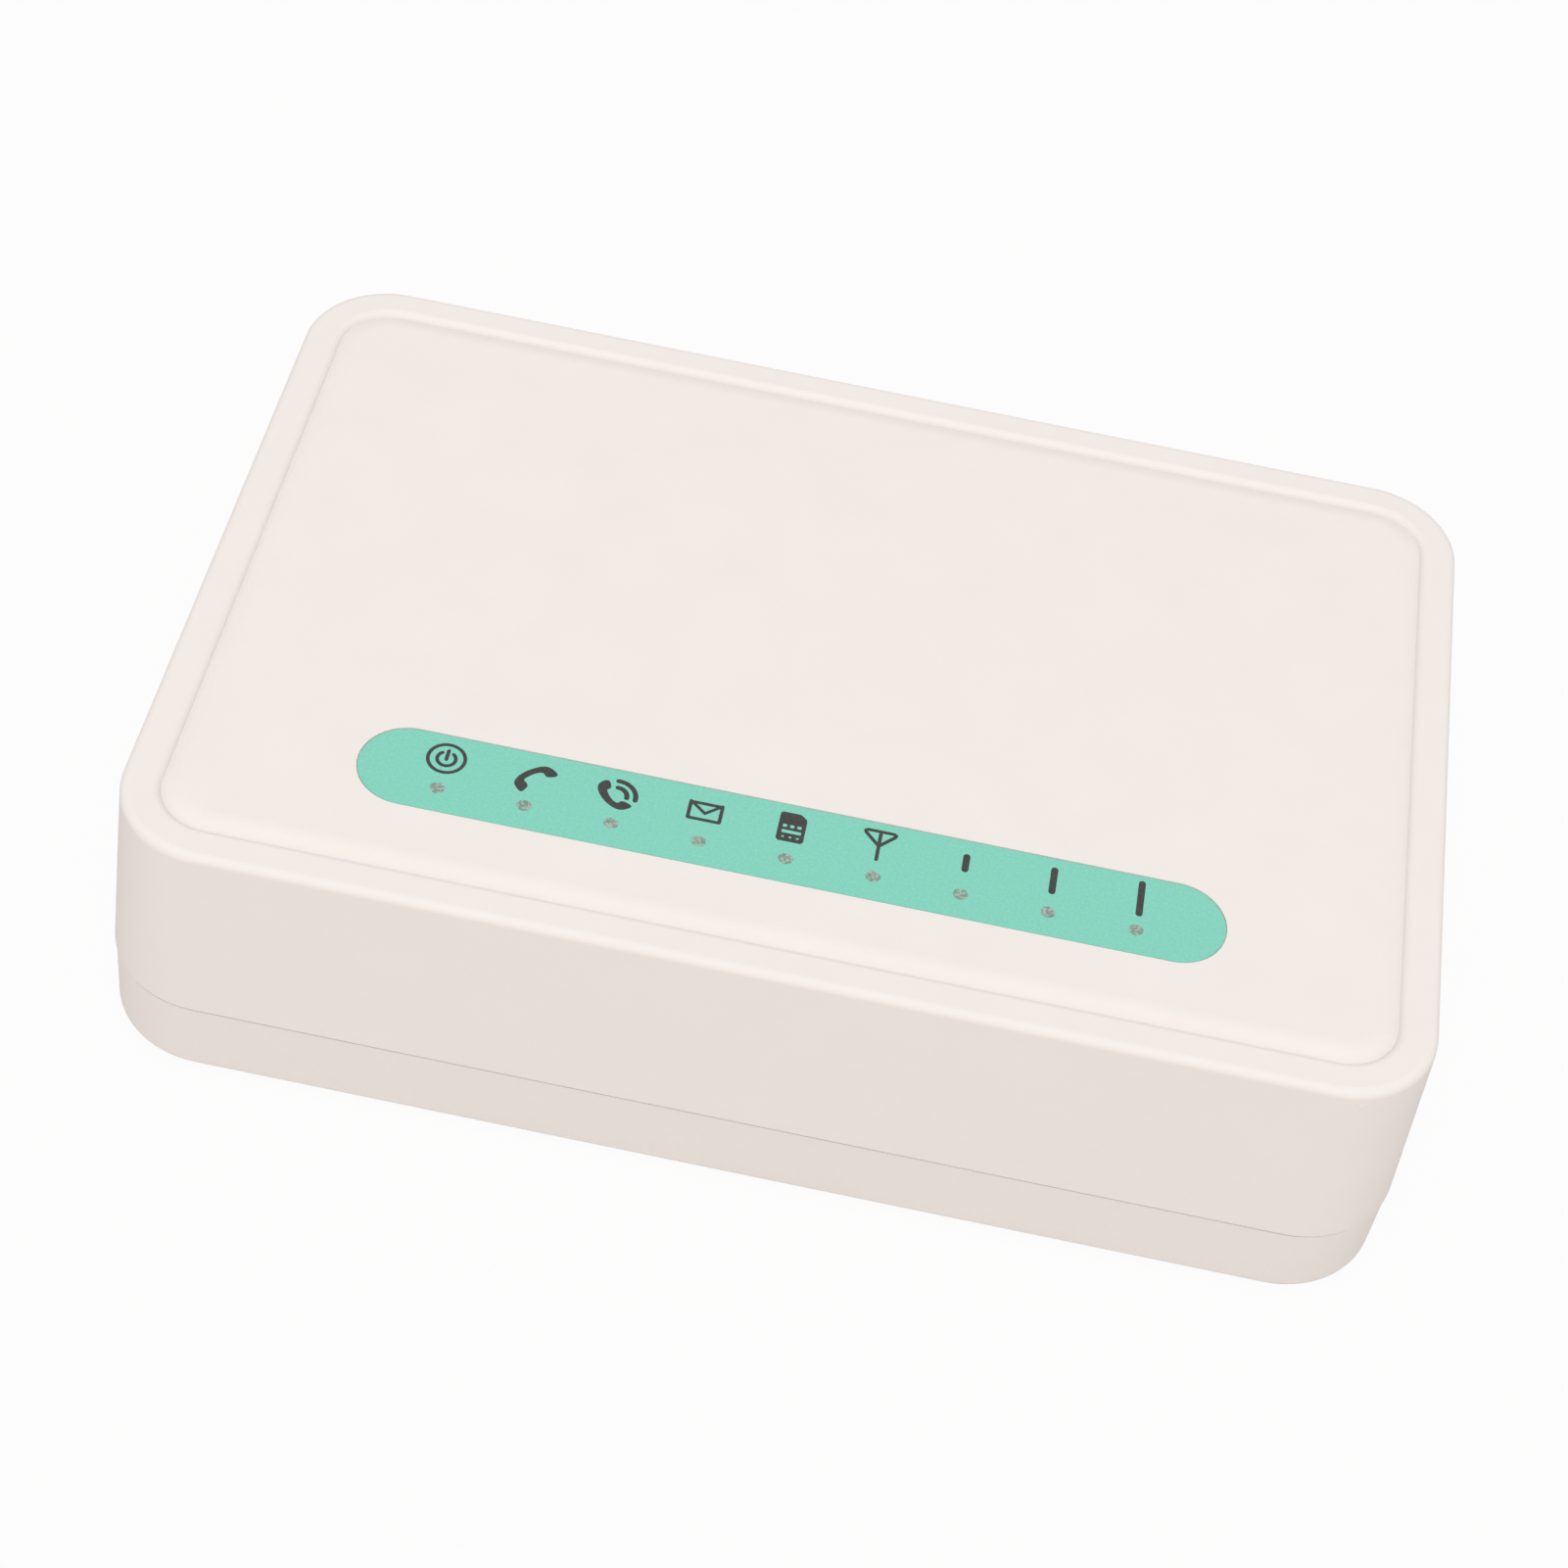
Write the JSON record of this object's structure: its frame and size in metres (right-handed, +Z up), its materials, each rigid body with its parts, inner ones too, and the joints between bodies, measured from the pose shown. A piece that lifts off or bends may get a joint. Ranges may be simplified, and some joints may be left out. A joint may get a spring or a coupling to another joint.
{
  "type": "cellular desk phone terminal",
  "caption": "Flat desk-top cellular terminal for a wired telephone: moulded two-part case, indicator strip on the lid, rear sockets, power switch, card drawer and battery door.",
  "frame": {"origin": "under the middle of the whole object, aerial thread included, on the plane that its feet stand on", "axes": "+Z up, -Y towards the user (the side with the indicator strip), +X to the user's right; the sockets face +Y"},
  "size_m": [0.1516, 0.1112, 0.0365],
  "materials": {
    "shell_plastic": "fine moulded texture, warm white",
    "label_film": "printed polycarbonate film, sea green",
    "clear_acrylic": "clear, frosted tips",
    "lamp": "diffused",
    "board_laminate": "solder resist",
    "tinned_steel": "tinned",
    "black_plastic": "moulded",
    "chip_plastic": "moulded, fine",
    "gold_contact": "gold plated",
    "nickel_contact": "nickel plated",
    "ferrite": "ground",
    "can_metal": "satin with sleeve",
    "ptfe": "turned",
    "zinc_screw": "zinc plated",
    "rubber": "matt",
    "cell_wrap": "film over the cell"
  },
  "bodies": {
    "case": {"top_cover": "shell_plastic", "bottom_case": "shell_plastic", "indicator_label": "label_film", "light_guide": "clear_acrylic", "status_leds": "lamp", "main_board": "board_laminate", "radio_module": "board_laminate", "radio_shield": "tinned_steel", "controller_chip": "chip_plastic", "line_interface_chip": "chip_plastic", "transformer_bobbin": "black_plastic", "transformer_core": "ferrite", "power_choke": "ferrite", "can_capacitors": "can_metal", "small_chips": "chip_plastic", "phone_jack_1": "black_plastic", "phone_jack_2": "black_plastic", "phone_jack_1_contacts": "gold_contact", "phone_jack_2_contacts": "gold_contact", "dc_jack_body": "black_plastic", "dc_jack_pin": "nickel_contact", "dc_jack_leaf": "nickel_contact", "power_switch_frame": "tinned_steel", "power_switch_base": "black_plastic", "aerial_socket": "gold_contact", "aerial_insulator": "ptfe", "aerial_contact": "gold_contact", "aerial_washer": "gold_contact", "aerial_nut": "gold_contact", "sim_cage": "tinned_steel", "sim_contact_base": "black_plastic", "sim_contacts": "gold_contact", "battery_pack": "cell_wrap", "battery_connector": "black_plastic", "battery_blades": "gold_contact", "case_screws": "zinc_screw", "board_screws": "zinc_screw", "rubber_feet": "rubber"},
    "switch_knob": {"power_switch_slider": "black_plastic"},
    "card_drawer": {"sim_tray": "shell_plastic"},
    "door": {"battery_door": "shell_plastic"}
  },
  "joints": [
    {"name": "power_switch_slide", "type": "slide", "parent": "case", "child": "switch_knob", "axis": [1, 0, 0], "range_m": [0, 0.003]},
    {"name": "card_drawer_slide", "type": "slide", "parent": "case", "child": "card_drawer", "axis": [0, 1, 0], "range_m": [0, 0.024]},
    {"name": "battery_door_slide", "type": "slide", "parent": "case", "child": "door", "axis": [0, 1, 0], "range_m": [0, 0.008]}
  ]
}
